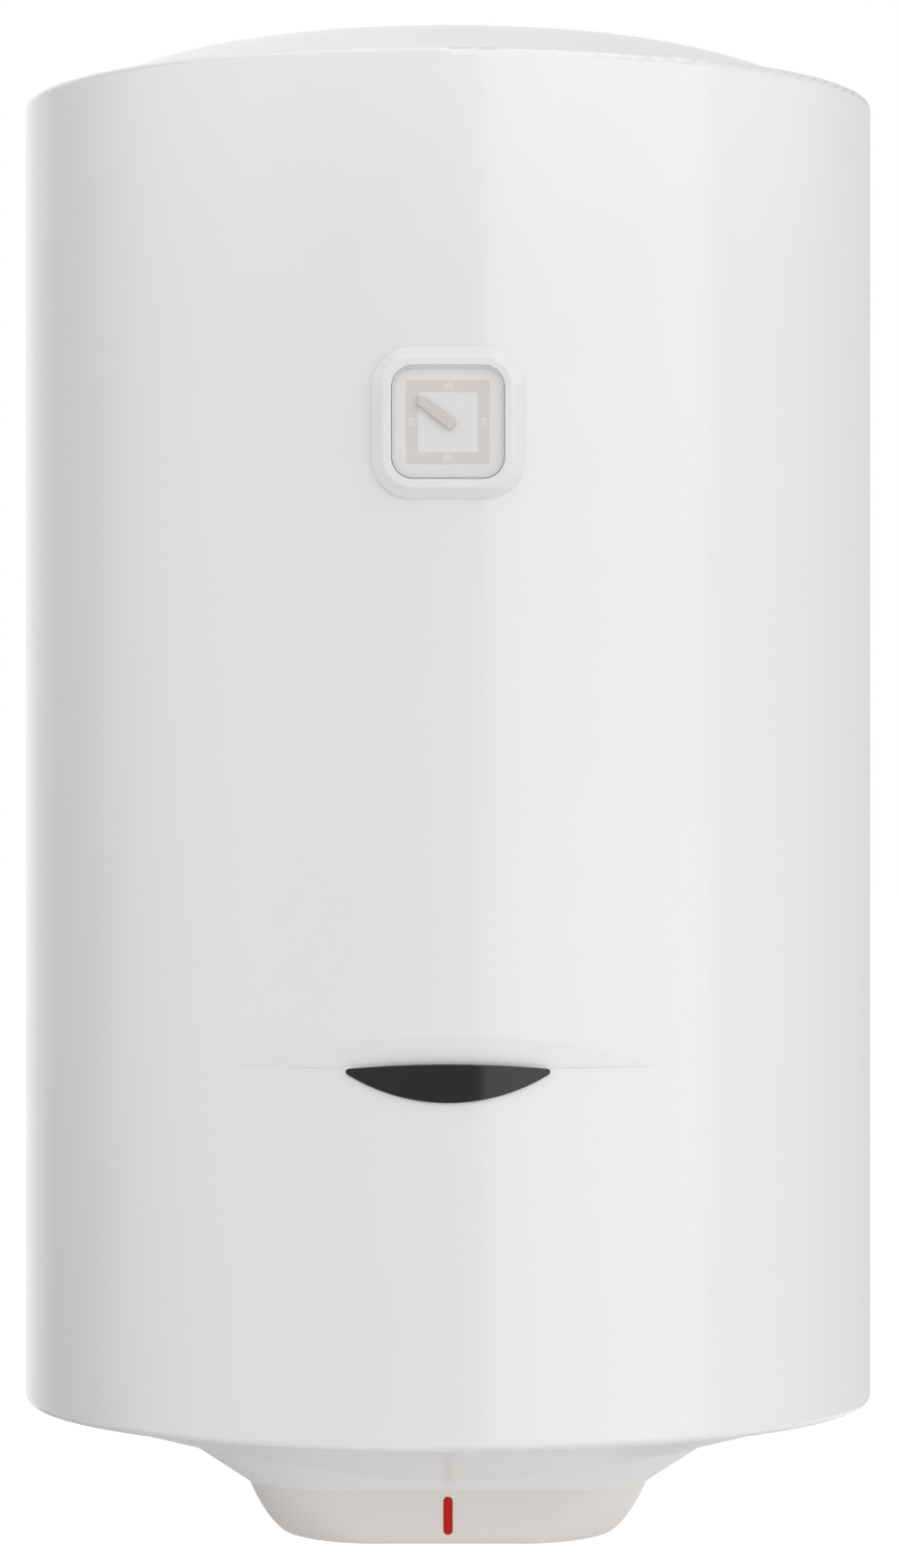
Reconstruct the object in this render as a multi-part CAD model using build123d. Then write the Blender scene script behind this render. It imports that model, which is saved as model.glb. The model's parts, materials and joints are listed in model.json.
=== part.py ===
from build123d import *
import os
from math import asin, atan2, cos, degrees, hypot, radians, sin, sqrt, tan

# Wall-hung electric storage water heater, about 80 litres, in millimetres.
# Working frame: Z is the tank's axis, z = 0 is the casing's lower edge, the front faces -Y.
# The pieces are moved at the end so that the origin lies on the wall, midway between the hook slots.

# Clearances
FIT = 0.1
RUN = 0.05
LOOSE = 0.3

# Casing of painted sheet, rolled in at both ends
CASING_DIAMETER = 450.0
CASING_HEIGHT = 688.0
CASING_WALL = 1.0
CASING_EDGE = 4.5
CASING_LIP = 6.5
SEAM_WIDTH = 14.0
SEAM_FOLD = 1.0
SEAM_X = 84.0
SEAM_END = 8.0

# Shallow scoop pressed into the casing above the badge
SCOOP_WIDTH = 216.0
SCOOP_HEIGHT = 16.3
SCOOP_DEPTH = 3.0
SCOOP_BASE = 187.5

# Badge plate
BADGE_WIDTH = 106.5
BADGE_TIP_Z = 187.4
BADGE_TOP_Z = 190.3
BADGE_LOW_Z = 171.3
BADGE_THICKNESS = 1.6
BADGE_CORNER = 1.6
BADGE_EDGE = 0.5

# Domed top cover
LID_WALL = 1.2
LID_FLANGE = 4.0
DOME_INSET = 21.0
CROWN_SHARE = 0.54
CROWN_SLOPE = 3.15
SHOULDER_SLOPE = 28.0
DOME_FOOT = 12.0

# Bottom cover: a shallow dish that runs down into a rounded, tapered mouth
DISH_WALL = 1.5
DISH_INSET = 13.0
DISH_SLOPE = 15.4
DISH_STEP = 1.4
MOUTH_WIDTH = 209.6
MOUTH_FRONT = 91.5
MOUTH_REAR = 80.0
MOUTH_CORNER = 44.0
MOUTH_STAND = 0.34114
MOUTH_SLOPE = 33.6
MOUTH_BLEND = 14.0
TAB_LENGTH = 38.0
TAB_WIDTH = 16.0
TAB_THICKNESS = 3.0

# Electrical cover below the mouth
COVER_HEIGHT = 29.5
COVER_INSET = 0.4
COVER_SIDE_TAPER = 17.7
COVER_END_TAPER = 6.0
COVER_LOW_CORNER = 60.0
COVER_WAIST = 0.6
COVER_WAIST_BULGE = 1.7
COVER_WAIST_CORNER = 46.0
COVER_EDGE = 8.0
COVER_INNER_EDGE = 5.5
COVER_WALL = 2.5
COVER_FLOOR = 2.2
COVER_TONGUE = 3.0
COVER_TONGUE_WALL = 1.4
COVER_TONGUE_ROOT = 2.0
POST_INSET = 31.8
POST_RADIUS = 6.0
POST_FLOOR = 3.0
COVER_SCREW_RADIUS = 2.0
COVER_SCREW_HEAD = 4.0
COVER_SCREW_HEAD_HEIGHT = 3.0

# Pilot light in the front of the electrical cover
PILOT_LENGTH = 20.5
PILOT_WIDTH = 4.6
PILOT_DROP = 13.7
PILOT_PROUD = 0.7
PILOT_EDGE = 0.5
PILOT_FLANGE = 1.2
PILOT_FLANGE_RIM = 0.8
LAMP_RADIUS = 3.0
LAMP_LENGTH = 8.0
HOLDER_SIZE = 10.0
HOLDER_LENGTH = 9.0

# Temperature gauge on the front
GAUGE_DROP = 184.3
BEZEL_SIZE = 74.5
BEZEL_CORNER = 20.0
BEZEL_PROUD = 5.5
BEZEL_TAPER = 44.0
BEZEL_EDGE = 1.6
BEZEL_INNER_EDGE = 0.8
BEZEL_OPENING = 55.4
OPENING_CORNER = 10.7
LENS_SIZE = 54.8
LENS_CORNER = 10.4
LENS_WALL = 1.4
LENS_PROUD = 7.0
LENS_EDGE = 0.9
DIAL_FACE = 1.6
DIAL_THICKNESS = 1.2
HOUSING_SIZE = 55.2
HOUSING_WALL = 1.5
HOUSING_DEPTH = 16.0
GAUGE_HOLE = 56.6
NEEDLE_ANGLE = 143.3
NEEDLE_REACH = 18.4
NEEDLE_TAIL = 3.4
NEEDLE_WIDTH = 5.0
NEEDLE_TIP_WIDTH = 4.2
NEEDLE_THICKNESS = 2.0
NEEDLE_LIFT = 1.0
ARBOR_RADIUS = 1.2
ARBOR_LENGTH = 13.0
COIL_STRIP = 0.7
COIL_WIDTH = 5.0
COIL_PITCH = 3.0
COIL_HALF_TURNS = 7
COIL_POST_RADIUS = 1.6
PAD_RADIUS = 14.0

# Inner tank of enamelled steel
FOAM_SIDE = 20.0
TANK_WALL = 2.0
TANK_FOOT = 0.55
TANK_TOP_GAP = 88.0
KNUCKLE_SHARE = 0.1
NECK_RADIUS = 52.0
NECK_BORE = 48.0
NECK_TOP = 14.0
NECK_END = -10.0
NECK_RING = 5.0
FOAM_WELL = 84.0

# Bolted flange that carries the element, the anode and the thermostat pocket
FLANGE_RADIUS = 70.0
FLANGE_THICKNESS = 4.0
GASKET_RADIUS = 56.0
GASKET_THICKNESS = 3.0
BOLT_CIRCLE = 122.0
BOLT_COUNT = 5
BOLT_RADIUS = 4.0
BOLT_HEX = 13.0
BOLT_HEAD = 5.3
BOLT_TIP = 4.0

ELEMENT_RADIUS = 4.2
ELEMENT_Y = -14.0
ELEMENT_PITCH = 22.0
ELEMENT_TOP = 290.0
ELEMENT_TURN = 45.0
TERMINAL_RADIUS = 6.0
TERMINAL_HEIGHT = 5.0
PIN_RADIUS = 2.0
PIN_LENGTH = 9.0

ANODE_Y = 28.0
ANODE_RADIUS = 11.0
ANODE_START = -4.0
ANODE_TOP = 235.0
STUD_RADIUS = 4.0
STUD_TAIL = 9.0
NUT_HEIGHT = 6.5

POCKET_Y = 5.0
POCKET_RADIUS = 6.0
POCKET_BORE = 4.6
POCKET_TOP = 255.0
SENSING_RADIUS = 4.3
SENSING_TOP = 235.0

# Thermostat under the flange, with its knob in the underside of the electrical cover
THERMOSTAT_WIDTH = 44.0
THERMOSTAT_FRONT = -9.0
THERMOSTAT_REAR = 17.0
THERMOSTAT_HEIGHT = 29.0
THERMOSTAT_CORNER = 3.0
SPINDLE_Y = 4.0
SPINDLE_RADIUS = 3.0
SPINDLE_SOCKET = 10.0
KNOB_RADIUS = 16.2
KNOB_DISC = 3.1
KNOB_GRIP_WIDTH = 7.0
KNOB_SEAT = 4.6
KNOB_GAP = 0.6
KNOB_SHY = 0.3
WELL_RADIUS = 17.5
WELL_DEPTH = 9.0
WELL_BORE = 3.6
RESET_X = 14.0
RESET_RADIUS = 2.8
RESET_PROUD = 3.0
RESET_LENGTH = 8.0
RESET_TRAVEL = 1.8
RESET_EDGE = 0.6

TERMINAL_BLOCK_WIDTH = 34.0
TERMINAL_BLOCK_DEPTH = 14.0
TERMINAL_BLOCK_HEIGHT = 13.0
TERMINAL_BLOCK_Y = 54.0
CLAMP_HOLE = 2.4
CLAMP_HOLE_DEPTH = 8.0
CLAMP_PITCH = 10.5
LEAD_RADIUS = 1.3
LEAD_BEND = 4.0

# Water connections, half-inch pipe thread at the lower ends
PIPE_SPACING = 100.0
PIPE_TO_WALL = 115.0
PIPE_RADIUS = 10.65
THREAD_RADIUS = 10.48
THREAD_LENGTH = 18.0
THREAD_CHAMFER = 1.0
PIPE_BORE = 7.5
PIPE_END = -55.0
PIPE_TOP = 62.0
PIPE_HOLE = 11.5
STANDPIPE_RADIUS = 7.3
STANDPIPE_BORE = 6.3
STANDPIPE_SEAT = 20.0
STANDPIPE_RISE = 30.0
COLLAR_RADIUS = 19.0
COLLAR_DROP = 10.0
COLLAR_EDGE = 2.5
DIFFUSER_RADIUS = 15.0
DIFFUSER_WALL = 1.5
DIFFUSER_HEIGHT = 26.0
DIFFUSER_SKIRT = 8.0
DIFFUSER_SLOT = 7.0
DIFFUSER_SLOTS = 4

# Wall fixing
WALL_GAP = 30.0
BRACKET_DROP = 128.0
BRACKET_WIDTH = 260.0
BRACKET_HEIGHT = 60.0
BRACKET_PLATE = 3.0
BRACKET_BEND = 5.0
HOOK_SPACING = 180.0
HOOK_SLOT_LENGTH = 26.0
HOOK_SLOT_WIDTH = 12.0
SPACER_Z = 110.0
SPACER_WIDTH = 64.0
SPACER_HEIGHT = 44.0
SPACER_WALL = 3.0
SPACER_CORNER = 8.0
SPACER_BOSS = 7.0
SPACER_SCREW_RADIUS = 2.2
SPACER_SCREW_HEAD = 4.5
SPACER_SCREW_SINK = 10.0
SPACER_SCREW_BITE = 6.0

# Cord inlet in the back of the electrical cover
GROMMET_BORE = 4.25
GROMMET_NECK = 7.0
GROMMET_RIM = 9.5
GROMMET_RIM_HEIGHT = 3.0
GROMMET_DROP = 13.0

# Places worked out from the sizes above
CASING_RADIUS = CASING_DIAMETER / 2
TANK_RADIUS = CASING_RADIUS - FOAM_SIDE
TANK_TOP = CASING_HEIGHT - TANK_TOP_GAP
HEAD_CROWN = 2 * TANK_RADIUS
HEAD_KNUCKLE = KNUCKLE_SHARE * HEAD_CROWN
HEAD_RISE = sqrt((HEAD_CROWN - HEAD_KNUCKLE) ** 2 - (TANK_RADIUS - HEAD_KNUCKLE) ** 2)
TANK_BOTTOM = TANK_FOOT + HEAD_CROWN - HEAD_RISE
LID_Z = CASING_HEIGHT - CASING_WALL
DOME_RADIUS = CASING_RADIUS - DOME_INSET
CROWN_REACH = CROWN_SHARE * DOME_RADIUS
CROWN_RADIUS = CROWN_REACH / sin(radians(CROWN_SLOPE))
DISH_RADIUS = CASING_RADIUS - DISH_INSET
GAUGE_Z = CASING_HEIGHT - GAUGE_DROP
BRACKET_Z = CASING_HEIGHT - BRACKET_DROP
STANDPIPE_TOP = TANK_TOP + STANDPIPE_RISE
DISH_FLANGE_Z = CASING_WALL
DISH_Z = DISH_FLANGE_Z - DISH_STEP
MOUTH_DROP = (DISH_RADIUS - MOUTH_REAR) * tan(radians(DISH_SLOPE)) - DISH_Z + MOUTH_STAND
MOUTH_Z = -MOUTH_DROP
POST_X = MOUTH_WIDTH / 2 - POST_INSET
MOUTH_DEPTH = MOUTH_FRONT + MOUTH_REAR
MOUTH_Y = (MOUTH_REAR - MOUTH_FRONT) / 2
MOUTH_RIM = DISH_WALL / sin(radians(MOUTH_SLOPE))
COVER_Z = MOUTH_Z - COVER_HEIGHT
FLOOR_Z = COVER_Z + COVER_FLOOR
GASKET_Z = NECK_END - GASKET_THICKNESS
FLANGE_Z = GASKET_Z - FLANGE_THICKNESS
THERMOSTAT_Z = FLANGE_Z - THERMOSTAT_HEIGHT
WELL_Z = COVER_Z + WELL_DEPTH
KNOB_TOP = WELL_Z - KNOB_GAP
WALL_Y = CASING_RADIUS + WALL_GAP
PIPE_Y = WALL_Y - PIPE_TO_WALL
PIPE_X = PIPE_SPACING / 2
ROW_FRAME = Pos(0, -WALL_Y, -BRACKET_Z)

GAUGE_FRONT = Plane((0, -CASING_RADIUS, GAUGE_Z), x_dir=(1, 0, 0), z_dir=(0, -1, 0))
COVER_LEAN = atan2(COVER_END_TAPER, COVER_HEIGHT)
PILOT_PLANE = Plane(
    (0, COVER_INSET + PILOT_DROP * tan(COVER_LEAN) - MOUTH_FRONT, MOUTH_Z - PILOT_DROP),
    x_dir=(1, 0, 0),
    z_dir=(0, -cos(COVER_LEAN), -sin(COVER_LEAN)),
)
GROMMET_PLANE = Plane(
    (0, MOUTH_REAR - COVER_INSET - GROMMET_DROP * tan(COVER_LEAN), MOUTH_Z - GROMMET_DROP),
    x_dir=(1, 0, 0),
    z_dir=(0, cos(COVER_LEAN), -sin(COVER_LEAN)),
)
COVER_SKIN = COVER_WALL * cos(COVER_LEAN)


def disc(radius, low, high, x=0.0, y=0.0):
    """Upright cylinder from z = low to z = high."""
    return Pos(x, y, (low + high) / 2) * Cylinder(radius, high - low)


def ring(outer, inner, low, high, x=0.0, y=0.0):
    """Upright tube from z = low to z = high."""
    return disc(outer, low, high, x, y) - disc(inner, low, high, x, y)


def hexagon(across_flats, low, high, x=0.0, y=0.0):
    """Upright hexagonal bar."""
    outline = RegularPolygon(across_flats / 2, 6, major_radius=False)
    return extrude(Pos(x, y, low) * outline, amount=high - low)


def turned(edges):
    """Solid of revolution about Z from edges drawn as (radius, height)."""
    return revolve(Plane.XZ * make_face(edges), axis=Axis.Z)


def slab(plane, outline, low, high):
    """Prism on a plane, from low to high along the plane's normal."""
    return extrude(plane.offset(low) * outline, amount=high - low)


def rounded_square(size, corner):
    return RectangleRounded(size, size, corner)


def swept_tube(path, radius):
    start = Plane(origin=path @ 0, z_dir=path % 0)
    return sweep(start * Circle(radius), path=path)


# Casing and top cover
def scoop_cut(inset):
    """What lies outside the pressed scoop: a wide, leaning cylinder and a level step under it."""
    half = SCOOP_WIDTH / 2
    radius = 1 / (1 / CASING_RADIUS - 2 * SCOOP_DEPTH / half**2)
    lean = degrees(atan2(SCOOP_DEPTH, SCOOP_HEIGHT))
    low = SCOOP_BASE - inset
    high = SCOOP_BASE + SCOOP_HEIGHT + SCOOP_DEPTH
    floor = Pos(0, -CASING_RADIUS, SCOOP_BASE + SCOOP_HEIGHT) * Rot(X=lean)
    floor = floor * Pos(0, radius, 0) * Cylinder(radius - inset, 2 * CASING_RADIUS)
    band = Pos(0, -CASING_RADIUS, (low + high) / 2) * Box(SCOOP_WIDTH * 1.2, CASING_RADIUS, high - low)
    return band - floor


def casing_body(inset):
    """The casing's filled outer form, or its inside when inset by the wall."""
    body = disc(CASING_RADIUS - inset, inset, CASING_HEIGHT - inset)
    body = fillet(body.edges().filter_by(GeomType.CIRCLE), CASING_EDGE - inset)
    return body - scoop_cut(inset)


def bracket_legs(grow):
    """The two upright legs of the wall bracket, grown for the slots that they pass through."""
    reach = WALL_Y - BRACKET_PLATE
    legs = []
    for side in (-1, 1):
        x = side * (BRACKET_WIDTH - BRACKET_PLATE) / 2
        leg = Pos(x, reach / 2, BRACKET_Z) * Box(BRACKET_PLATE + 2 * grow, reach, BRACKET_HEIGHT + 2 * grow)
        legs.append(leg)
    return legs


def spacer_screw_hole(radius):
    start = CASING_RADIUS - SPACER_SCREW_BITE - LOOSE
    return Pos(0, start, SPACER_Z) * Rot(X=-90) * disc(radius, 0, WALL_GAP)


def casing_shell():
    lip = CASING_RADIUS - CASING_EDGE - CASING_LIP
    shell = casing_body(0) - casing_body(CASING_WALL) - disc(lip, 0, CASING_HEIGHT)
    shell -= slab(GAUGE_FRONT, rounded_square(GAUGE_HOLE, OPENING_CORNER), -CASING_RADIUS / 2, CASING_EDGE)
    shell -= bracket_legs(LOOSE)
    shell -= spacer_screw_hole(SPACER_SCREW_RADIUS + FIT)
    fold = ring(CASING_RADIUS + SEAM_FOLD, CASING_RADIUS - CASING_WALL / 2, SEAM_END, CASING_HEIGHT - SEAM_END)
    strip = Pos(SEAM_X, CASING_RADIUS, CASING_HEIGHT / 2) * Box(SEAM_WIDTH, CASING_RADIUS, CASING_HEIGHT)
    return shell + (fold & strip)


def dome_curve(inset):
    """Top cover's section from the axis out to its flange: crown, shoulder and foot arcs."""
    crown_angle = asin(CROWN_REACH / CROWN_RADIUS)
    slope = radians(SHOULDER_SLOPE)
    shoulder = (DOME_RADIUS - CROWN_REACH) / (sin(slope) - sin(crown_angle))
    drop = CROWN_RADIUS * (1 - cos(crown_angle)) + shoulder * (cos(crown_angle) - cos(slope))
    drop += DOME_FOOT * (1 - cos(slope))
    crown = JernArc((0, LID_Z + drop - inset), (1, 0), CROWN_RADIUS - inset, -degrees(crown_angle))
    turn = SHOULDER_SLOPE - degrees(crown_angle)
    side = JernArc(crown @ 1, crown % 1, shoulder - inset, -turn)
    foot = JernArc(side @ 1, side % 1, DOME_FOOT + inset, SHOULDER_SLOPE)
    return [crown, side, foot]


def top_cover():
    outer = dome_curve(0)
    inner = dome_curve(LID_WALL)
    rim = CASING_RADIUS - CASING_WALL - LID_FLANGE
    edges = outer + inner
    edges.append(Polyline(outer[-1] @ 1, (rim, LID_Z), (rim, LID_Z - LID_WALL), inner[-1] @ 1))
    edges.append(Line(inner[0] @ 0, outer[0] @ 0))
    return turned(edges)


def badge_plate():
    half = BADGE_WIDTH / 2
    top = ThreePointArc((-half, BADGE_TIP_Z), (0, BADGE_TOP_Z), (half, BADGE_TIP_Z))
    low = ThreePointArc((half, BADGE_TIP_Z), (0, BADGE_LOW_Z), (-half, BADGE_TIP_Z))
    outline = make_face([top, low])
    outline = fillet(outline.vertices(), BADGE_CORNER)
    stamp = extrude(Plane.XZ * outline, amount=CASING_DIAMETER)
    skin = ring(CASING_RADIUS + BADGE_THICKNESS, CASING_RADIUS + FIT, 0, CASING_HEIGHT)
    plate = skin & stamp
    face = plate.faces().sort_by(Axis.Y)[0]
    return fillet(face.edges(), BADGE_EDGE)


# Bottom cover and electrical cover
def mouth_outline(inset):
    """Plan of the mouth where the electrical cover meets the bottom cover."""
    return Pos(0, MOUTH_Y) * RectangleRounded(
        MOUTH_WIDTH - 2 * inset, MOUTH_DEPTH - 2 * inset, MOUTH_CORNER - inset
    )


def dish_form(wall, rim, blend):
    """Filled dish with its tapered mouth. wall insets the dish and rim narrows the mouth."""
    top = DISH_FLANGE_Z + DISH_WALL
    slope = tan(radians(DISH_SLOPE))
    apex = DISH_Z + wall / cos(radians(DISH_SLOPE)) - DISH_RADIUS * slope
    edge = DISH_RADIUS - wall
    cone = turned([Polyline((0, apex), (edge, apex + edge * slope), (edge, top), (0, top), close=True)])
    mouth = extrude(
        Pos(0, 0, MOUTH_Z) * mouth_outline(rim), amount=top - MOUTH_Z, taper=MOUTH_SLOPE - 90
    )
    form = cone + mouth
    form -= disc(MOUTH_WIDTH, apex - MOUTH_DROP, MOUTH_Z)
    seam = form.edges().filter_by(lambda e: MOUTH_Z + 1 < e.center().Z < DISH_Z - DISH_WALL)
    corners = [e for e in seam if abs(e.bounding_box().size.Z) < MOUTH_DROP / 2]
    return fillet(corners, blend)


def bottom_cover():
    shell = dish_form(0, 0, MOUTH_BLEND) - dish_form(DISH_WALL, MOUTH_RIM, MOUTH_BLEND + DISH_WALL)
    rim = CASING_RADIUS - CASING_WALL - LID_FLANGE
    shell += ring(rim, DISH_RADIUS - DISH_WALL, DISH_FLANGE_Z, DISH_FLANGE_Z + DISH_WALL)
    for side in (-1, 1):
        end = (MOUTH_WIDTH - MOUTH_RIM) / 2
        tab = Pos(side * (end - TAB_LENGTH / 2), 0, MOUTH_Z + TAB_THICKNESS / 2)
        shell += tab * Box(TAB_LENGTH, TAB_WIDTH, TAB_THICKNESS)
        shell -= disc(COVER_SCREW_RADIUS + FIT, MOUTH_Z, MOUTH_Z + TAB_THICKNESS, side * POST_X)
        shell -= disc(PIPE_HOLE, DISH_Z - MOUTH_DROP, DISH_Z, side * PIPE_X, PIPE_Y)
    return shell


def cover_form(inset):
    """Tapered tub of the electrical cover: tight corners at the seam, wide ones below."""
    seam = mouth_outline(COVER_INSET + inset)
    side = COVER_INSET + COVER_SIDE_TAPER + inset
    end = COVER_INSET + COVER_END_TAPER + inset
    low = Pos(0, MOUTH_Y) * RectangleRounded(
        MOUTH_WIDTH - 2 * side, MOUTH_DEPTH - 2 * end, COVER_LOW_CORNER - inset
    )
    side -= (1 - COVER_WAIST) * COVER_SIDE_TAPER + COVER_WAIST_BULGE
    end -= (1 - COVER_WAIST) * COVER_END_TAPER
    waist = Pos(0, MOUTH_Y) * RectangleRounded(
        MOUTH_WIDTH - 2 * side, MOUTH_DEPTH - 2 * end, COVER_WAIST_CORNER - inset
    )
    waist_z = MOUTH_Z - COVER_WAIST * COVER_HEIGHT
    return loft([Pos(0, 0, COVER_Z) * low, Pos(0, 0, waist_z) * waist, Pos(0, 0, MOUTH_Z) * seam])


def electrical_cover():
    outer = cover_form(0)
    outer = fillet(outer.faces().sort_by(Axis.Z)[0].edges(), COVER_EDGE)
    inner = cover_form(COVER_WALL) - disc(MOUTH_WIDTH, COVER_Z - COVER_FLOOR, FLOOR_Z)
    inner = fillet(inner.faces().sort_by(Axis.Z)[0].edges(), COVER_INNER_EDGE)
    tub = outer - inner
    tongue_out = mouth_outline(MOUTH_RIM + LOOSE)
    tongue_in = mouth_outline(MOUTH_RIM + LOOSE + COVER_TONGUE_WALL)
    tongue = Pos(0, 0, MOUTH_Z - COVER_TONGUE_ROOT) * (tongue_out - tongue_in)
    tub += extrude(tongue, amount=COVER_TONGUE_ROOT + COVER_TONGUE)
    tub += disc(WELL_RADIUS + COVER_FLOOR, FLOOR_Z - COVER_FLOOR / 2, WELL_Z + COVER_FLOOR, 0, SPINDLE_Y)
    tub -= disc(WELL_RADIUS, COVER_Z, WELL_Z, 0, SPINDLE_Y)
    tub -= disc(WELL_BORE, WELL_Z, WELL_Z + COVER_FLOOR, 0, SPINDLE_Y)
    for side in (-1, 1):
        x = side * POST_X
        notch = Pos(side * (POST_X + POST_RADIUS), 0, MOUTH_Z + COVER_TONGUE / 2)
        tub -= notch * Box(TAB_LENGTH * 2, TAB_WIDTH + 2 * LOOSE, COVER_TONGUE)
        tub += disc(POST_RADIUS, FLOOR_Z - COVER_FLOOR / 2, MOUTH_Z, x)
        tub -= disc(COVER_SCREW_HEAD + LOOSE, COVER_Z, MOUTH_Z - POST_FLOOR, x)
        tub -= disc(COVER_SCREW_RADIUS + FIT, MOUTH_Z - POST_FLOOR, MOUTH_Z, x)
    tub -= slab(PILOT_PLANE, pilot_outline(FIT), -2 * COVER_WALL, 2 * COVER_WALL)
    tub -= slab(GROMMET_PLANE, Circle(GROMMET_NECK + FIT), -2 * COVER_WALL, 2 * COVER_WALL)
    return tub


def cover_screws():
    low = MOUTH_Z - POST_FLOOR
    screws = []
    for side in (-1, 1):
        head = disc(COVER_SCREW_HEAD, low - COVER_SCREW_HEAD_HEIGHT, low, side * POST_X)
        head = fillet(head.edges().sort_by(Axis.Z)[0], COVER_SCREW_HEAD_HEIGHT / 2)
        screws.append(head + disc(COVER_SCREW_RADIUS, low, MOUTH_Z + TAB_THICKNESS, side * POST_X))
    return screws


def pilot_outline(grow):
    return SlotOverall(PILOT_LENGTH + 2 * grow, PILOT_WIDTH + 2 * grow, rotation=90)


def pilot_lens():
    lens = slab(PILOT_PLANE, pilot_outline(0), -COVER_SKIN, PILOT_PROUD)
    lens = fillet(lens.faces().sort_by(Axis.Y)[0].edges(), PILOT_EDGE)
    back = slab(PILOT_PLANE, pilot_outline(PILOT_FLANGE_RIM), -COVER_SKIN - PILOT_FLANGE, -COVER_SKIN)
    return lens + back


def pilot_lamp_holder():
    start = -COVER_SKIN - PILOT_FLANGE
    block = slab(PILOT_PLANE, rounded_square(HOLDER_SIZE, 1.5), start - HOLDER_LENGTH, start)
    return block - slab(PILOT_PLANE, Circle(LAMP_RADIUS + FIT), start - HOLDER_LENGTH, start)


def pilot_lamp():
    start = -COVER_SKIN - PILOT_FLANGE - LOOSE
    bulb = slab(PILOT_PLANE, Circle(LAMP_RADIUS), start - LAMP_LENGTH, start)
    return fillet(bulb.edges().filter_by(GeomType.CIRCLE).sort_by(Axis.Y)[0], LAMP_RADIUS * 0.7)


def cord_grommet():
    """Rubber bush clipped in the wall, bored for the supply cord."""
    outside = slab(GROMMET_PLANE, Circle(GROMMET_RIM), FIT, GROMMET_RIM_HEIGHT)
    outside = fillet(outside.edges().sort_by(Axis.Y)[-1], GROMMET_RIM_HEIGHT / 2)
    neck = slab(GROMMET_PLANE, Circle(GROMMET_NECK), -COVER_SKIN - FIT, FIT)
    inside = slab(GROMMET_PLANE, Circle(GROMMET_RIM), -COVER_SKIN - GROMMET_RIM_HEIGHT, -COVER_SKIN - FIT)
    bore = slab(GROMMET_PLANE, Circle(GROMMET_BORE), -4 * COVER_WALL, 4 * COVER_WALL)
    return outside + neck + inside - bore


# Temperature gauge
def gauge_bezel():
    base = slab(GAUGE_FRONT, rounded_square(BEZEL_SIZE, BEZEL_CORNER), -CASING_EDGE, 0)
    crown = extrude(
        GAUGE_FRONT * rounded_square(BEZEL_SIZE, BEZEL_CORNER), amount=BEZEL_PROUD, taper=BEZEL_TAPER
    )
    frame = base + crown
    front = frame.faces().sort_by(Axis.Y)[0]
    frame = fillet(front.edges(), BEZEL_EDGE)
    frame -= slab(GAUGE_FRONT, rounded_square(BEZEL_OPENING, OPENING_CORNER), -BEZEL_SIZE, BEZEL_SIZE)
    front = frame.faces().sort_by(Axis.Y)[0]
    frame = fillet(front.inner_wires()[0].edges(), BEZEL_INNER_EDGE)
    return frame - disc(CASING_RADIUS + FIT, 0, CASING_HEIGHT)


def gauge_housing():
    rim = DIAL_FACE - DIAL_THICKNESS
    cup = slab(GAUGE_FRONT, rounded_square(HOUSING_SIZE, OPENING_CORNER), -HOUSING_DEPTH, rim)
    inner = HOUSING_SIZE - 2 * HOUSING_WALL
    cup -= slab(
        GAUGE_FRONT, rounded_square(inner, OPENING_CORNER - HOUSING_WALL), HOUSING_WALL - HOUSING_DEPTH, rim
    )
    post = Pos(coil_end(), 0) * Circle(COIL_POST_RADIUS)
    return cup + slab(GAUGE_FRONT, post, -HOUSING_DEPTH, -HOUSING_DEPTH / 4)


def gauge_dial():
    plate = slab(GAUGE_FRONT, rounded_square(LENS_SIZE, LENS_CORNER), DIAL_FACE - DIAL_THICKNESS, DIAL_FACE)
    return plate - slab(GAUGE_FRONT, Circle(ARBOR_RADIUS + RUN), -DIAL_FACE, 2 * DIAL_FACE)


def gauge_lens():
    window = slab(GAUGE_FRONT, rounded_square(LENS_SIZE, LENS_CORNER), DIAL_FACE, LENS_PROUD)
    window = fillet(window.faces().sort_by(Axis.Y)[0].edges(), LENS_EDGE)
    inner = rounded_square(LENS_SIZE - 2 * LENS_WALL, LENS_CORNER - LENS_WALL)
    return window - slab(GAUGE_FRONT, inner, DIAL_FACE, LENS_PROUD - LENS_WALL)


def gauge_needle():
    half_tail = NEEDLE_WIDTH / 2
    half_tip = NEEDLE_TIP_WIDTH / 2
    edges = Polyline((-NEEDLE_TAIL, -half_tail), (NEEDLE_REACH, -half_tip), (NEEDLE_REACH, half_tip))
    edges = [edges, Polyline((NEEDLE_REACH, half_tip), (-NEEDLE_TAIL, half_tail), (-NEEDLE_TAIL, -half_tail))]
    outline = fillet(make_face(edges).vertices(), half_tip * 0.6)
    low = DIAL_FACE + NEEDLE_LIFT
    bar = slab(GAUGE_FRONT, Rot(Z=NEEDLE_ANGLE) * outline, low, low + NEEDLE_THICKNESS)
    bar = fillet(bar.faces().sort_by(Axis.Y)[0].edges(), NEEDLE_THICKNESS / 4)
    return bar - slab(GAUGE_FRONT, Circle(ARBOR_RADIUS + FIT), low, low + NEEDLE_THICKNESS * 0.75)


def gauge_arbor():
    high = DIAL_FACE + NEEDLE_LIFT + NEEDLE_THICKNESS * 0.75 - FIT
    return slab(GAUGE_FRONT, Circle(ARBOR_RADIUS), high - ARBOR_LENGTH, high)


def coil_start():
    return ARBOR_RADIUS + LOOSE + COIL_STRIP / 2


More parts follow.
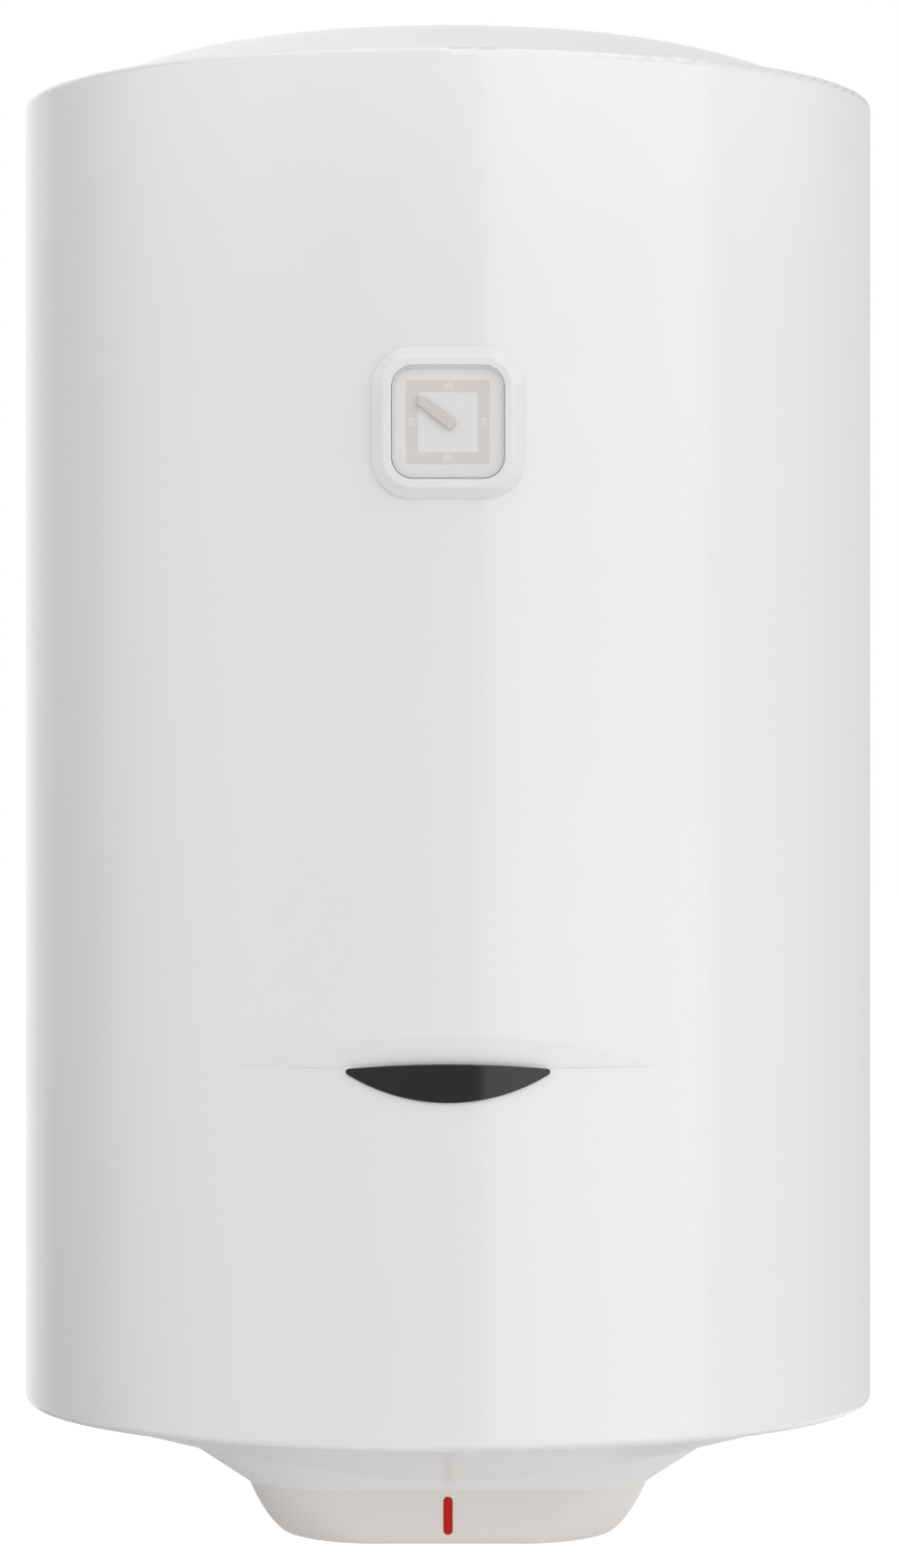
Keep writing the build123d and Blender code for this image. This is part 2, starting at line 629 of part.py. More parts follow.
def coil_end():
    """How far from the arbor the coil's outer end lies, with its sign along X."""
    side = -1 if COIL_HALF_TURNS % 2 else 1
    return side * (coil_start() + COIL_HALF_TURNS * COIL_PITCH / 2 + COIL_STRIP / 2 + COIL_POST_RADIUS)


def bimetal_coil():
    """Flat spiral of half turns, each a little wider than the last."""
    strip = None
    x = coil_start()
    for turn in range(COIL_HALF_TURNS):
        side = 1 if turn % 2 == 0 else -1
        far = -side * (abs(x) + COIL_PITCH / 2)
        centre = (x + far) / 2
        radius = abs(far - x) / 2
        half = CenterArc((centre, 0), radius, 0 if side > 0 else 180, 180)
        band = trace(half, COIL_STRIP)
        strip = band if strip is None else strip + band
        x = far
    return slab(GAUGE_FRONT, strip, -HOUSING_DEPTH / 2 - COIL_WIDTH / 2, -HOUSING_DEPTH / 2 + COIL_WIDTH / 2)


def gauge_sensor():
    gap = CASING_RADIUS - TANK_RADIUS
    return slab(GAUGE_FRONT, Circle(PAD_RADIUS), LOOSE - gap, -HOUSING_DEPTH)


# Tank, foam and pipes
def head_curve(base, side, inset):
    """Dished tank end in section, from its rim to the axis: a knuckle arc, then the crown arc."""
    reach = TANK_RADIUS - HEAD_KNUCKLE
    lean = degrees(atan2(reach, HEAD_RISE))
    knuckle = CenterArc((reach, base), HEAD_KNUCKLE - inset, 0, side * (90 - lean))
    crown = CenterArc((0, base - side * HEAD_RISE), HEAD_CROWN - inset, side * (90 - lean), side * lean)
    return [knuckle, crown]


def head_solid(base, side, inset):
    curve = head_curve(base, side, inset)
    return turned(curve + [Polyline(curve[-1] @ 1, (0, base), curve[0] @ 0)])


def head_shell(base, side):
    outer = head_curve(base, side, 0)
    inner = head_curve(base, side, TANK_WALL)
    joins = [Line(outer[0] @ 0, inner[0] @ 0), Line(outer[-1] @ 1, inner[-1] @ 1)]
    return turned(outer + inner + joins)


def tank_barrel():
    return ring(TANK_RADIUS, TANK_RADIUS - TANK_WALL, TANK_BOTTOM, TANK_TOP)


def tank_upper_head():
    return head_shell(TANK_TOP, 1)


def tank_lower_head():
    head = head_shell(TANK_BOTTOM, -1)
    head -= disc(NECK_RADIUS + FIT, NECK_END, TANK_BOTTOM)
    for side in (-1, 1):
        head -= disc(PIPE_RADIUS + FIT, NECK_END, TANK_BOTTOM, side * PIPE_X, PIPE_Y)
    return head


def bolt_places():
    spots = []
    for turn in range(BOLT_COUNT):
        angle = radians(-90 + 360 * turn / BOLT_COUNT)
        spots.append((BOLT_CIRCLE / 2 * cos(angle), BOLT_CIRCLE / 2 * sin(angle)))
    return spots


def flange_neck():
    neck = ring(NECK_RADIUS, NECK_BORE, NECK_END, NECK_TOP)
    neck += ring(FLANGE_RADIUS, NECK_BORE, NECK_END, NECK_END + NECK_RING)
    for x, y in bolt_places():
        neck -= disc(BOLT_RADIUS + FIT, NECK_END, NECK_END + NECK_RING, x, y)
    return neck


def flange_gasket():
    return ring(GASKET_RADIUS, NECK_BORE, GASKET_Z, NECK_END)


def flange_plate():
    plate = disc(FLANGE_RADIUS, FLANGE_Z, GASKET_Z)
    plate -= disc(POCKET_RADIUS + FIT, FLANGE_Z, GASKET_Z, 0, POCKET_Y)
    plate -= disc(STUD_RADIUS + FIT, FLANGE_Z, GASKET_Z, 0, ANODE_Y)
    for side in (-1, 1):
        plate -= disc(ELEMENT_RADIUS + FIT, FLANGE_Z, GASKET_Z, side * 1.5 * ELEMENT_PITCH, ELEMENT_Y)
    for x, y in bolt_places():
        plate -= disc(BOLT_RADIUS + LOOSE, FLANGE_Z, GASKET_Z, x, y)
    return plate


def flange_bolts():
    bolts = []
    for x, y in bolt_places():
        head = hexagon(BOLT_HEX, FLANGE_Z - BOLT_HEAD, FLANGE_Z, x, y)
        bolts.append(head + disc(BOLT_RADIUS, FLANGE_Z, NECK_END + NECK_RING + BOLT_TIP, x, y))
    return bolts


def heating_element():
    """One sheathed tube bent into two hairpins side by side."""
    half = ELEMENT_PITCH / 2
    columns = [-3 * half, -half, half, 3 * half]
    ends = [(FLANGE_Z, ELEMENT_TOP), (ELEMENT_TOP, ELEMENT_TURN), (ELEMENT_TURN, ELEMENT_TOP), (ELEMENT_TOP, FLANGE_Z)]
    edges = []
    for index, (x, (low, high)) in enumerate(zip(columns, ends)):
        edges.append(Line((x, low), (x, high)))
        if index < 3:
            bulge = half if high == ELEMENT_TOP else -half
            edges.append(ThreePointArc((x, high), (x + half, high + bulge), (x + ELEMENT_PITCH, high)))
    path = Plane((0, ELEMENT_Y, 0), x_dir=(1, 0, 0), z_dir=(0, -1, 0)) * Wire(edges)
    return swept_tube(path, ELEMENT_RADIUS)


def element_terminals():
    ends = []
    for side in (-1, 1):
        x = side * 1.5 * ELEMENT_PITCH
        collar = disc(TERMINAL_RADIUS, FLANGE_Z - TERMINAL_HEIGHT, FLANGE_Z, x, ELEMENT_Y)
        low = FLANGE_Z - TERMINAL_HEIGHT - PIN_LENGTH
        ends.append(collar + disc(PIN_RADIUS, low, FLANGE_Z - TERMINAL_HEIGHT, x, ELEMENT_Y))
    return ends


def anode_rod():
    rod = disc(ANODE_RADIUS, ANODE_START, ANODE_TOP, 0, ANODE_Y)
    rod = fillet(rod.edges().filter_by(GeomType.CIRCLE), ANODE_RADIUS / 4)
    return rod + disc(STUD_RADIUS, FLANGE_Z - STUD_TAIL, ANODE_START, 0, ANODE_Y)


def anode_nut():
    nut = hexagon(BOLT_HEX, FLANGE_Z - NUT_HEIGHT, FLANGE_Z, 0, ANODE_Y)
    return nut - disc(STUD_RADIUS + FIT, FLANGE_Z - NUT_HEIGHT, FLANGE_Z, 0, ANODE_Y)


def thermostat_pocket():
    pocket = disc(POCKET_RADIUS, FLANGE_Z, POCKET_TOP, 0, POCKET_Y)
    return pocket - disc(POCKET_BORE, FLANGE_Z, POCKET_TOP - POCKET_BORE, 0, POCKET_Y)


def thermostat_rod():
    return disc(SENSING_RADIUS, FLANGE_Z, SENSING_TOP, 0, POCKET_Y)


def thermostat_body():
    middle = (THERMOSTAT_FRONT + THERMOSTAT_REAR) / 2
    outline = RectangleRounded(THERMOSTAT_WIDTH, THERMOSTAT_REAR - THERMOSTAT_FRONT, THERMOSTAT_CORNER)
    body = extrude(Pos(0, middle, THERMOSTAT_Z) * outline, amount=THERMOSTAT_HEIGHT)
    body = fillet(body.faces().sort_by(Axis.Z)[0].edges(), THERMOSTAT_CORNER / 2)
    body -= disc(SPINDLE_RADIUS + RUN, THERMOSTAT_Z, THERMOSTAT_Z + SPINDLE_SOCKET + LOOSE, 0, SPINDLE_Y)
    depth = RESET_LENGTH - RESET_PROUD + RESET_TRAVEL + LOOSE
    return body - disc(RESET_RADIUS + RUN, THERMOSTAT_Z, THERMOSTAT_Z + depth, RESET_X, SPINDLE_Y)


def thermostat_spindle():
    return disc(SPINDLE_RADIUS, KNOB_TOP - KNOB_SEAT, THERMOSTAT_Z + SPINDLE_SOCKET, 0, SPINDLE_Y)


def temperature_knob():
    disc_low = KNOB_TOP - KNOB_DISC
    low = COVER_Z + KNOB_SHY
    knob = disc(KNOB_RADIUS, disc_low, KNOB_TOP, 0, SPINDLE_Y)
    bar = Pos(0, SPINDLE_Y, (low + disc_low) / 2) * Box(
        KNOB_GRIP_WIDTH, 4 * KNOB_RADIUS, disc_low - low
    )
    grip = bar & disc(KNOB_RADIUS, low, disc_low, 0, SPINDLE_Y)
    grip = fillet(grip.faces().sort_by(Axis.Z)[0].edges(), KNOB_GRIP_WIDTH / 6)
    return knob + grip - disc(SPINDLE_RADIUS + RUN, KNOB_TOP - KNOB_SEAT - FIT, KNOB_TOP, 0, SPINDLE_Y)


def reset_button():
    low = THERMOSTAT_Z - RESET_PROUD
    button = disc(RESET_RADIUS, low, low + RESET_LENGTH, RESET_X, SPINDLE_Y)
    return fillet(button.edges().sort_by(Axis.Z)[0], RESET_EDGE)


def terminal_block():
    low = FLANGE_Z - TERMINAL_BLOCK_HEIGHT
    block = Pos(0, TERMINAL_BLOCK_Y, (low + FLANGE_Z) / 2) * Box(
        TERMINAL_BLOCK_WIDTH, TERMINAL_BLOCK_DEPTH, TERMINAL_BLOCK_HEIGHT
    )
    for step in (-1, 0, 1):
        x = step * CLAMP_PITCH
        block -= disc(CLAMP_HOLE, low, low + CLAMP_HOLE_DEPTH, x, TERMINAL_BLOCK_Y)
    return block


def lead(*points):
    return swept_tube(FilletPolyline(*points, radius=LEAD_BEND), LEAD_RADIUS)


def element_leads():
    """Two leads from the thermostat's flanks round to the element's pins."""
    leads = []
    pin_low = FLANGE_Z - TERMINAL_HEIGHT - PIN_LENGTH
    for side in (-1, 1):
        flank = side * THERMOSTAT_WIDTH / 2
        x = side * 1.5 * ELEMENT_PITCH
        z = THERMOSTAT_Z + THERMOSTAT_HEIGHT / 3
        leads.append(
            lead(
                (flank, SPINDLE_Y, z),
                (x, SPINDLE_Y, z),
                (x, ELEMENT_Y, z - 2 * LEAD_BEND),
                (x, ELEMENT_Y, pin_low),
            )
        )
    return leads


def lamp_leads():
    """Two leads from the pilot lamp's holder back to the thermostat."""
    leads = []
    start = PILOT_PLANE.offset(-COVER_SKIN - PILOT_FLANGE - HOLDER_LENGTH - 2 * LOOSE).origin
    rise = start.Z + HOLDER_SIZE / 2
    for side in (-1, 1):
        x = side * LAMP_RADIUS * 1.3
        leads.append(
            lead(
                (x, start.Y, start.Z),
                (x, start.Y + 3 * LEAD_BEND, start.Z),
                (2 * x, THERMOSTAT_FRONT - 3 * LEAD_BEND, rise),
                (2 * x, THERMOSTAT_FRONT, rise),
            )
        )
    return leads


def insulation_foam():
    """Foam that fills the space between tank and casing."""
    dome = dome_curve(LID_WALL + LOOSE)
    outer = CASING_RADIUS - CASING_WALL - LOOSE
    slope = tan(radians(DISH_SLOPE))
    lift = DISH_Z + DISH_WALL / cos(radians(DISH_SLOPE)) + LOOSE
    low = DISH_FLANGE_Z + DISH_WALL + LOOSE
    high = LID_Z - LID_WALL - LOOSE
    inside = TANK_BOTTOM
    foot = DISH_RADIUS - DISH_WALL - LOOSE
    edges = list(dome)
    edges.append(
        Polyline(
            dome[-1] @ 1,
            (outer - CASING_EDGE, high),
            (outer, high - CASING_EDGE),
            (outer, low + CASING_EDGE),
            (outer - CASING_EDGE, low),
            (foot, low),
            (foot, lift - (DISH_RADIUS - foot) * slope),
            (FOAM_WELL, lift - (DISH_RADIUS - FOAM_WELL) * slope),
            (FOAM_WELL, inside),
            (0, inside),
            dome[0] @ 0,
        )
    )
    foam = turned(edges) - scoop_cut(CASING_WALL + LOOSE)
    foam -= disc(TANK_RADIUS + LOOSE, TANK_BOTTOM, TANK_TOP)
    foam -= head_solid(TANK_TOP, 1, -LOOSE)
    foam -= head_solid(TANK_BOTTOM, -1, -LOOSE)
    pocket = rounded_square(HOUSING_SIZE + 2 * LOOSE, OPENING_CORNER)
    foam -= slab(GAUGE_FRONT, pocket, -CASING_RADIUS / 2, CASING_EDGE)
    foam -= bracket_legs(LOOSE)
    foam -= spacer_screw_hole(SPACER_SCREW_RADIUS + LOOSE)
    for side in (-1, 1):
        foam -= disc(PIPE_RADIUS + LOOSE, -MOUTH_DROP, TANK_BOTTOM, side * PIPE_X, PIPE_Y)
    return foam


def pipe_stub(side):
    """Tube welded through the tank's lower end, threaded outside at its foot."""
    x = side * PIPE_X
    thread = disc(THREAD_RADIUS, PIPE_END, PIPE_END + THREAD_LENGTH, x, PIPE_Y)
    thread = chamfer(thread.edges().sort_by(Axis.Z)[0], THREAD_CHAMFER)
    stub = thread + disc(PIPE_RADIUS, PIPE_END + THREAD_LENGTH, PIPE_TOP, x, PIPE_Y)
    return stub - disc(PIPE_BORE, PIPE_END, PIPE_TOP, x, PIPE_Y)


def hot_standpipe():
    low = PIPE_TOP - STANDPIPE_SEAT
    return ring(STANDPIPE_RADIUS, STANDPIPE_BORE, low, STANDPIPE_TOP, -PIPE_X, PIPE_Y)


def inlet_diffuser():
    """Slotted cap that turns the cold jet aside."""
    low = PIPE_TOP - DIFFUSER_SKIRT
    high = low + DIFFUSER_HEIGHT
    cap = disc(DIFFUSER_RADIUS, low, high, PIPE_X, PIPE_Y)
    cap = fillet(cap.edges().sort_by(Axis.Z)[-1], DIFFUSER_WALL)
    cap -= disc(DIFFUSER_RADIUS - DIFFUSER_WALL, PIPE_TOP, high - DIFFUSER_WALL, PIPE_X, PIPE_Y)
    cap -= disc(PIPE_RADIUS + FIT, low, PIPE_TOP, PIPE_X, PIPE_Y)
    for turn in range(DIFFUSER_SLOTS):
        middle = (PIPE_TOP + high - DIFFUSER_WALL) / 2
        slot = Pos(DIFFUSER_RADIUS, 0, 0) * Box(DIFFUSER_RADIUS, DIFFUSER_SLOT, DIFFUSER_SLOT)
        cap -= Pos(PIPE_X, PIPE_Y, middle) * Rot(Z=45 + 360 * turn / DIFFUSER_SLOTS) * slot
    return cap


def pipe_collar(side):
    """Coloured ring that covers the hole in the dish and follows its slope."""
    x = side * PIPE_X
    rise = (DISH_RADIUS - hypot(PIPE_X, PIPE_Y)) * tan(radians(DISH_SLOPE))
    low = DISH_Z - rise - COLLAR_DROP
    collar = disc(COLLAR_RADIUS, low, DISH_Z, x, PIPE_Y)
    collar = fillet(collar.edges().sort_by(Axis.Z)[0], COLLAR_EDGE)
    collar -= disc(PIPE_RADIUS + FIT, low, DISH_Z, x, PIPE_Y)
    apex = DISH_Z - FIT - DISH_RADIUS * tan(radians(DISH_SLOPE))
    dish = turned([Polyline((0, apex), (DISH_RADIUS, DISH_Z - FIT), (DISH_RADIUS, DISH_RADIUS), close=True)])
    return collar - dish


# Wall fixing
def wall_bracket():
    """Bent plate: a web on the wall and two legs welded to the tank through the casing."""
    outline = Rectangle(BRACKET_WIDTH, 2 * WALL_Y)
    inner = Rectangle(BRACKET_WIDTH - 2 * BRACKET_PLATE, 2 * (WALL_Y - BRACKET_PLATE))
    outline = fillet(outline.vertices().group_by(Axis.Y)[-1], BRACKET_BEND)
    inner = fillet(inner.vertices().group_by(Axis.Y)[-1], BRACKET_BEND - BRACKET_PLATE)
    plate = extrude(Pos(0, 0, BRACKET_Z - BRACKET_HEIGHT / 2) * (outline - inner), amount=BRACKET_HEIGHT)
    plate -= Pos(0, -WALL_Y, BRACKET_Z) * Box(2 * BRACKET_WIDTH, 2 * WALL_Y, 2 * BRACKET_HEIGHT)
    plate -= disc(TANK_RADIUS + FIT, TANK_BOTTOM, TANK_TOP)
    slot = SlotOverall(HOOK_SLOT_LENGTH, HOOK_SLOT_WIDTH)
    wall = Plane((0, WALL_Y, BRACKET_Z), x_dir=(1, 0, 0), z_dir=(0, -1, 0))
    for side in (-1, 1):
        plate -= slab(wall, Pos(side * HOOK_SPACING / 2, 0) * slot, 0, BRACKET_PLATE)
    return plate


def spacer_plane():
    return Plane((0, WALL_Y, SPACER_Z), x_dir=(1, 0, 0), z_dir=(0, -1, 0))


def lower_spacer():
    """Moulded stand-off that keeps the heater upright, hollow towards the casing."""
    wall = spacer_plane()
    block = slab(wall, RectangleRounded(SPACER_WIDTH, SPACER_HEIGHT, SPACER_CORNER), 0, 2 * WALL_GAP)
    hollow = RectangleRounded(
        SPACER_WIDTH - 2 * SPACER_WALL, SPACER_HEIGHT - 2 * SPACER_WALL, SPACER_CORNER - SPACER_WALL
    )
    block -= slab(wall, hollow, SPACER_WALL, 2 * WALL_GAP)
    block += slab(wall, Circle(SPACER_BOSS), 0, 2 * WALL_GAP)
    block -= slab(wall, Circle(SPACER_SCREW_HEAD + LOOSE), 0, SPACER_SCREW_SINK)
    block -= slab(wall, Circle(SPACER_SCREW_RADIUS + FIT), 0, 2 * WALL_GAP)
    return block - disc(CASING_RADIUS + FIT, 0, CASING_HEIGHT)


def spacer_screw():
    wall = spacer_plane()
    head = slab(wall, Circle(SPACER_SCREW_HEAD), SPACER_SCREW_SINK - SPACER_SCREW_RADIUS, SPACER_SCREW_SINK)
    shank = slab(wall, Circle(SPACER_SCREW_RADIUS), SPACER_SCREW_SINK, WALL_GAP + SPACER_SCREW_BITE)
    return head + shank


NODES = {
    "casing_shell": casing_shell,
    "top_cover": top_cover,
    "badge_plate": badge_plate,
    "bottom_cover": bottom_cover,
    "electrical_cover": electrical_cover,
    "cover_screws": cover_screws,
    "pilot_lens": pilot_lens,
    "pilot_lamp": pilot_lamp,
    "pilot_lamp_holder": pilot_lamp_holder,
    "cord_grommet": cord_grommet,
    "gauge_bezel": gauge_bezel,
    "gauge_housing": gauge_housing,
    "gauge_dial": gauge_dial,
    "gauge_lens": gauge_lens,
    "gauge_needle": gauge_needle,
    "gauge_arbor": gauge_arbor,
    "bimetal_coil": bimetal_coil,
    "gauge_sensor": gauge_sensor,
    "tank_barrel": tank_barrel,
    "tank_upper_head": tank_upper_head,
    "tank_lower_head": tank_lower_head,
    "insulation_foam": insulation_foam,
    "flange_neck": flange_neck,
    "flange_gasket": flange_gasket,
    "flange_plate": flange_plate,
    "flange_bolts": flange_bolts,
    "heating_element": heating_element,
    "element_terminals": element_terminals,
    "anode_rod": anode_rod,
    "anode_nut": anode_nut,
    "thermostat_pocket": thermostat_pocket,
    "thermostat_rod": thermostat_rod,
    "thermostat_body": thermostat_body,
    "thermostat_spindle": thermostat_spindle,
    "temperature_knob": temperature_knob,
    "reset_button": reset_button,
    "terminal_block": terminal_block,
    "element_leads": element_leads,
    "lamp_leads": lamp_leads,
    "cold_inlet_pipe": lambda: pipe_stub(1),
    "hot_outlet_pipe": lambda: pipe_stub(-1),
    "hot_standpipe": hot_standpipe,
    "inlet_diffuser": inlet_diffuser,
    "cold_collar": lambda: pipe_collar(1),
    "hot_collar": lambda: pipe_collar(-1),
    "wall_bracket": wall_bracket,
    "lower_spacer": lower_spacer,
    "spacer_screw": spacer_screw,
}

os.makedirs("parts", exist_ok=True)
for name, make in NODES.items():
    made = make()
    solids = made if isinstance(made, list) else [made]
    solids = [solid for shape in solids for solid in shape.solids()]
    placed = [ROW_FRAME * solid for solid in solids]
    export_step(placed[0] if len(placed) == 1 else Compound(children=placed), f"parts/{name}.step")
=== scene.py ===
import json
from math import cos, pi, radians, sin

import bmesh
import bpy
from mathutils import Matrix, Vector

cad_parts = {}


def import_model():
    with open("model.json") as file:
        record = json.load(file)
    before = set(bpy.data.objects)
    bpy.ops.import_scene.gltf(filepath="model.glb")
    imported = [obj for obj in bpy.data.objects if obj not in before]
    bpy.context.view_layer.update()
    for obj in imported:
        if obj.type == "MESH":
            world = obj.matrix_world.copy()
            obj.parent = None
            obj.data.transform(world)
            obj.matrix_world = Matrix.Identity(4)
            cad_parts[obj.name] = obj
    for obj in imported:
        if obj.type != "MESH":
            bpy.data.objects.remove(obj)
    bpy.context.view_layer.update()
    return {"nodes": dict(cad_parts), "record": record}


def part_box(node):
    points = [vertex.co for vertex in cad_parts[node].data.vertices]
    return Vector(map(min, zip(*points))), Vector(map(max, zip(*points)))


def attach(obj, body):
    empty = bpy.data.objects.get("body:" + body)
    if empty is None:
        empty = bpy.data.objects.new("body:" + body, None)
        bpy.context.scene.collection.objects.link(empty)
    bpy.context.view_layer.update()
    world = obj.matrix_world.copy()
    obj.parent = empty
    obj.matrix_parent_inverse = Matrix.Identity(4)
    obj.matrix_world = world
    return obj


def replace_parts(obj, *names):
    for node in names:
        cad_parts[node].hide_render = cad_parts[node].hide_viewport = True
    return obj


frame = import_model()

# Sizes are in millimetres and angles in degrees.
# The heater's own frame has Z on the tank's axis, z = 0 at the casing's lower edge and its front at -Y.
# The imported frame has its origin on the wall, between the hook slots.
AXIS_TO_WALL = 255.0
RIM_TO_HOOKS = 560.0
CASING_HEIGHT = 688.0

# Print on the dial
BAND_OUTER = 41.0
BAND_INNER = 29.2
BAND_CORNER = 1.2
CORNER_STEPS = 6
INK = 0.05
DIGIT_SIZE = 4.6
NUMBERS = ("20", "40", "60", "80")

# Pipes
PIPE_RADIUS = 10.65
PIPE_BORE = 7.5
PIPE_X = 50.0
PIPE_Y = 140.0
PIPE_END = -55.0
PIPE_TOP = 62.0
PIPE_STEPS = 48
BORE_CHAMFER = 0.4
BORE_CHAMFER_DEPTH = 0.6

# Half-inch pipe thread. The groove's share of the depth peaks at GROOVE_PEAK and is cut off at 0 and 1.
THREAD_RADIUS = 10.48
THREAD_LENGTH = 18.0
THREAD_PITCH = 1.814
THREAD_DEPTH = 1.16
THREAD_CHAMFER = 1.3
THREAD_RUNOUT = 0.2
ROWS_PER_PITCH = 10
GROOVE_PEAK = 1.6
GROOVE_SLOPE = 2.4

# Pan-head screws
COVER_SCREW_X = 73.0
COVER_SCREW_RADIUS = 2.0
COVER_SCREW_HEAD = 4.0
COVER_SCREW_HEAD_HEIGHT = 3.0
COVER_SCREW_SEAT = -40.1
COVER_SCREW_LENGTH = 6.0
SPACER_SCREW_RADIUS = 2.2
SPACER_SCREW_HEAD = 4.5
SPACER_SCREW_HEAD_HEIGHT = 2.2
SCREW_STEPS = 40
SCREW_ROWS = 12

# Shares of a screw's own sizes: thread root, section of the head as height and radius, cross recess
SCREW_ROOT = 0.78
PAN_HEAD = ((0.0, 0.55), (0.12, 0.8), (0.45, 1.0), (1.0, 1.0))
CROSS_REACH = 0.52
CROSS_WIDTH = 0.26
CROSS_DEPTH = 0.6
CROSS_TAPER = 0.45

# Knob pointer, and the moulded marks around the knob's well, which grow longer as the knob turns
SPINDLE_Y = 4.0
KNOB_RADIUS = 16.2
WELL_RADIUS = 17.5
COVER_Z = -66.6
MARKS = 10
MARK_START = -90.0
MARK_STEP = 30.0
MARK_LENGTH = 1.6
MARK_GROWTH = 0.4
MARK_GAP = 2.0
MARK_WIDTH = 1.0
MARK_PROUD = 0.35
POINTER_LENGTH = 7.0
POINTER_WIDTH = 1.3
POINTER_THICKNESS = 0.3
POINTER_INSET = 2.2
BAR_EDGE = 0.12

# Shading: the angle past which an edge stays sharp, and the range that holds most of a noise's values
SHARP_ANGLE = 35.0
NOISE_LOW = 0.3
NOISE_HIGH = 0.7

# Camera, from the photo's perspective
EYE_DISTANCE = 2615.7
EYE_HEIGHT = 328.07
EYE_X = 0.75
AIM_DROP = 0.98
FOCAL_PIXELS = 5443.75
PHOTO_HEIGHT = 1744
SENSOR = 36.0

# Floor, and the soft fill of light that grows towards the key
FLOOR_Z = -420.0
FLOOR_REACH = 30000.0
FLOOR_TONE = 0.94
FLOOR_ROUGHNESS = 0.9
FLOOR_GLOW = 0.3
FILL = 0.80
KEY = (0.24, -0.24, 0.15)

# Ring of cards around the tank: brightness at azimuths from the camera, positive to the right
RING_DISTANCE = 1600.0
RING_TOP = 2400.0
RING_TONES = (
    (-180, 0.85), (-160, 1.1), (-148, 1.12), (-135, 0.78), (-122, 0.24), (-104, 0.22),
    (-84, 1.05), (-70, 1.38), (-50, 1.37), (-38, 1.02), (-22, 0.72), (7, 0.64), (9.5, 1.6),
    (24, 1.8), (67.5, 2.05), (69.5, 1.1), (82, 1.05), (103, 0.75), (116, 0.55), (130, 0.55),
    (150, 0.62), (180, 0.85),
)

# Lighter upper part of the ring's front. Each row of the ring is a height and a share of the extra glow.
UPPER_GLOW = 1.25
UPPER_SPREAD = 125.0
UPPER_START = 737.0
UPPER_FULL = 903.0
UPPER_END = 1246.0
RING_ROWS = ((RING_TOP, 0.0), (UPPER_END, 0.9), (UPPER_FULL, 1.0), (UPPER_START, 0.0), (FLOOR_Z, 0.0))

# Level cards, each with its left, right, front and rear sides and its brightness
FLAG_LIFT = 5.0
FLAG_Z = FLOOR_Z + FLAG_LIFT
LEFT_FLAG = (-1100, -250, -700, 1500)
LEFT_FLAG_TONE = 0.27
UNDER_FLAG = (-250, 250, -150, 600)
UNDER_FLAG_TONE = 0.78
LOW_FLAG = (-900, 200, 100, 1300)
LOW_FLAG_TONE = 0.4
LOW_FLAG_FADE = 400
LOW_FLAG_EDGE_TONE = 1.1
TOP_BOX = (-1300, 1300, -1800, 800)
TOP_BOX_Z = 2600.0
TOP_BOX_TONE = 2.15


def at(x, y, z):
    """A point of the heater's own frame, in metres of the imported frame."""
    return Vector((x / 1000, (y - AXIS_TO_WALL) / 1000, (z - RIM_TO_HOOKS) / 1000))


# Node helpers
class Nodes:
    """The node tree of a material or a world, with short ways to fill it."""

    def __init__(self, owner):
        owner.use_nodes = True
        self.tree = owner.node_tree

    def add(self, kind, **values):
        node = self.tree.nodes.new(kind)
        for key, value in values.items():
            setattr(node, key, value)
        return node

    def link(self, source, target):
        self.tree.links.new(source, target)

    def math(self, operation, first, second):
        node = self.add("ShaderNodeMath", operation=operation)
        for socket, value in zip(node.inputs, (first, second)):
            if isinstance(value, (int, float)):
                socket.default_value = value
            else:
                self.link(value, socket)
        return node.outputs[0]

    def backdrop_rays(self):
        """1 for straight, mirrored and clear rays, which see the white backdrop, and 0 for the rest."""
        path = self.add("ShaderNodeLightPath")
        seen = self.math("MAXIMUM", path.outputs["Is Camera Ray"], path.outputs["Is Glossy Ray"])
        return self.math("MAXIMUM", seen, path.outputs["Is Transmission Ray"])


